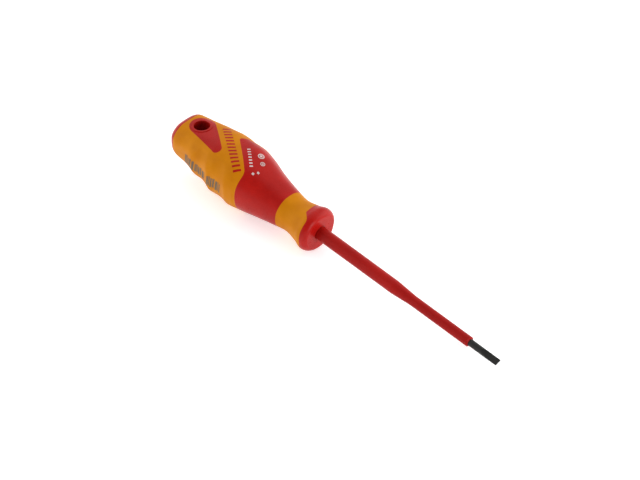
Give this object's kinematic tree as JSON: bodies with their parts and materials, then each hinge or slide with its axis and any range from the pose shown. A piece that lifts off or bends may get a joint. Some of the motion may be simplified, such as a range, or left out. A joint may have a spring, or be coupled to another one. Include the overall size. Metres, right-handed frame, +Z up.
{
  "type": "insulated screwdriver",
  "caption": "Slot screwdriver with an insulated two-stage blade, a hard and soft moulded handle with a front collar, finger hollows and a hang hole.",
  "frame": {"origin": "centre of the blade's end face", "axes": "+X along the blade, out of its tip; +Z up along the hang hole, out of the handle's flat top; handle at negative X"},
  "size_m": [0.1788, 0.026, 0.0259],
  "materials": {
    "blade_steel": "black-finished, satin",
    "sleeve_red": "semi-gloss polyamide",
    "core_plastic": "hidden hard moulding",
    "handle_red": "semi-gloss hard polypropylene",
    "grip_yellow": "matte soft-touch elastomer",
    "print_white": "white pad-printed ink",
    "print_grey": "grey printed ink"
  },
  "bodies": {
    "root": {"blade": "blade_steel", "blade_sleeve": "sleeve_red", "handle_core": "core_plastic", "front_guard": "handle_red", "neck_ring": "grip_yellow", "body_shell": "handle_red", "rear_grip": "grip_yellow", "hole_panel": "handle_red", "hang_hole_liner": "handle_red", "butt_cap": "handle_red"}
  },
  "joints": []
}
